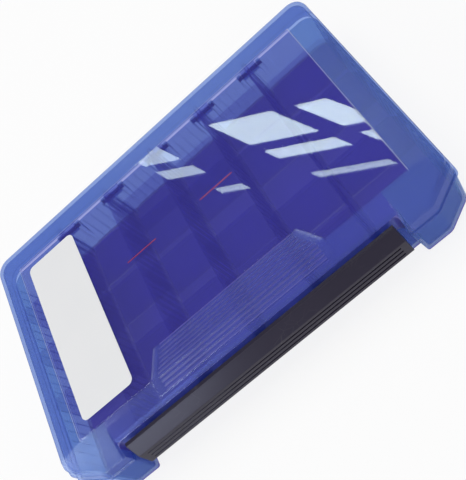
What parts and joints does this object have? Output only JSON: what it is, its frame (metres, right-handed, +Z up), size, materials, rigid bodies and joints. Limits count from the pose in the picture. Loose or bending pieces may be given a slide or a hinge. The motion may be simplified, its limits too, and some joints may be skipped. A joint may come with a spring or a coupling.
{
  "type": "tackle box",
  "caption": "Flat rectangular tackle box: a domed lid hinged at the back closes a tray divided by partitions and loose dividers, held by a latch bar along the front.",
  "frame": {"origin": "middle of the underside of the closed box, on the surface that it stands on", "axes": "+X along the box's length, with the latch on the -Y side; +Y towards the rear hinge; +Z up"},
  "size_m": [0.2768, 0.189, 0.0435],
  "materials": {
    "shell": "translucent blue polypropylene, glossy window and faintly frosted borders",
    "divider": "translucent blue polypropylene",
    "latch": "black moulded plastic, satin with a polished bevel",
    "label": "white printed film, bare",
    "pin": "drawn steel"
  },
  "bodies": {
    "base": {"base_tray": "shell", "partition_1": "divider", "partition_2": "divider", "partition_3": "divider", "partition_4": "divider", "partition_5": "divider", "divider_1_06": "divider", "divider_1_11": "divider", "divider_1_16": "divider", "divider_2_05": "divider", "divider_2_11": "divider", "divider_2_16": "divider", "divider_3_05": "divider", "divider_3_10": "divider", "divider_3_15": "divider", "divider_3_18": "divider", "divider_4_04": "divider", "divider_4_08": "divider", "divider_4_14": "divider", "divider_4_17": "divider", "divider_5_02": "divider", "divider_5_06": "divider", "divider_5_13": "divider", "divider_5_18": "divider", "divider_6_06": "divider", "divider_6_12": "divider", "divider_6_17": "divider", "hinge_pin_1": "pin", "hinge_pin_2": "pin", "hinge_pin_3": "pin", "hinge_pin_4": "pin", "hinge_pin_5": "pin"},
    "lid": {"lid": "shell", "label_film": "label"},
    "latch": {"latch_bar": "latch", "latch_pin_1": "pin", "latch_pin_2": "pin", "latch_pin_3": "pin", "latch_pin_4": "pin"}
  },
  "joints": [
    {"name": "lid_hinge", "type": "hinge", "parent": "base", "child": "lid", "pos_m": [0, 0.0906, 0.0228], "axis": [-1, 0, 0], "range_deg": [0, 110]},
    {"name": "latch_hinge", "type": "hinge", "parent": "lid", "child": "latch", "pos_m": [0, -0.0885, 0.0356], "axis": [-1, 0, 0], "range_deg": [0, 80]}
  ]
}
